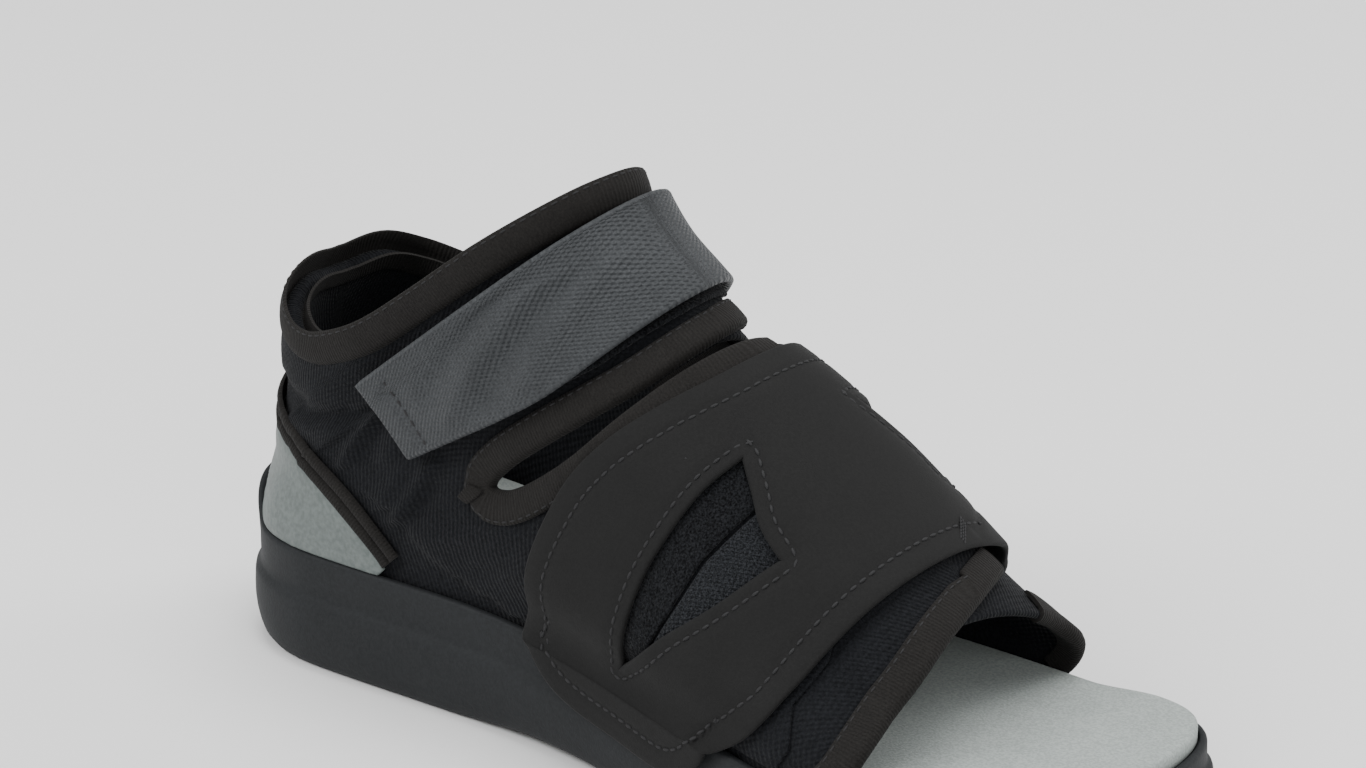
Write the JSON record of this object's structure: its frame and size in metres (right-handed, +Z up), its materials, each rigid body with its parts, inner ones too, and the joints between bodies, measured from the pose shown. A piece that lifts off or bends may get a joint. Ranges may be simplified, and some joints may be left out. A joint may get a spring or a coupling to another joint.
{
  "type": "post operative shoe",
  "caption": "Open-toe post operative shoe for the right foot: moulded sole, wrap-over textile upper with side slots, ankle strap and broad windowed forefoot strap.",
  "frame": {"origin": "on the floor under the middle of the shoe's box", "axes": "+X towards the toe, -Y to the lateral side of a right foot, +Z up"},
  "size_m": [0.286, 0.1058, 0.1491],
  "materials": {
    "sole": "matte moulded foam",
    "insole": "matte foam with a fine nap",
    "upper": "loop knit",
    "counter": "smooth satin",
    "binding": "ribbed tape",
    "pad": "loop pile",
    "webbing": "woven with a sheen",
    "strap": "matte brushed microfibre"
  },
  "bodies": {
    "root": {"sole": "sole", "insole": "insole", "upper": "upper", "heel_counter": "counter", "counter_binding": "binding", "collar_binding": "binding", "slot_binding_lateral": "binding", "slot_binding_medial": "binding", "flap_binding_lateral": "binding", "flap_binding_medial": "binding", "ankle_pad": "pad", "ankle_strap": "webbing", "forefoot_strap": "strap"}
  },
  "joints": []
}
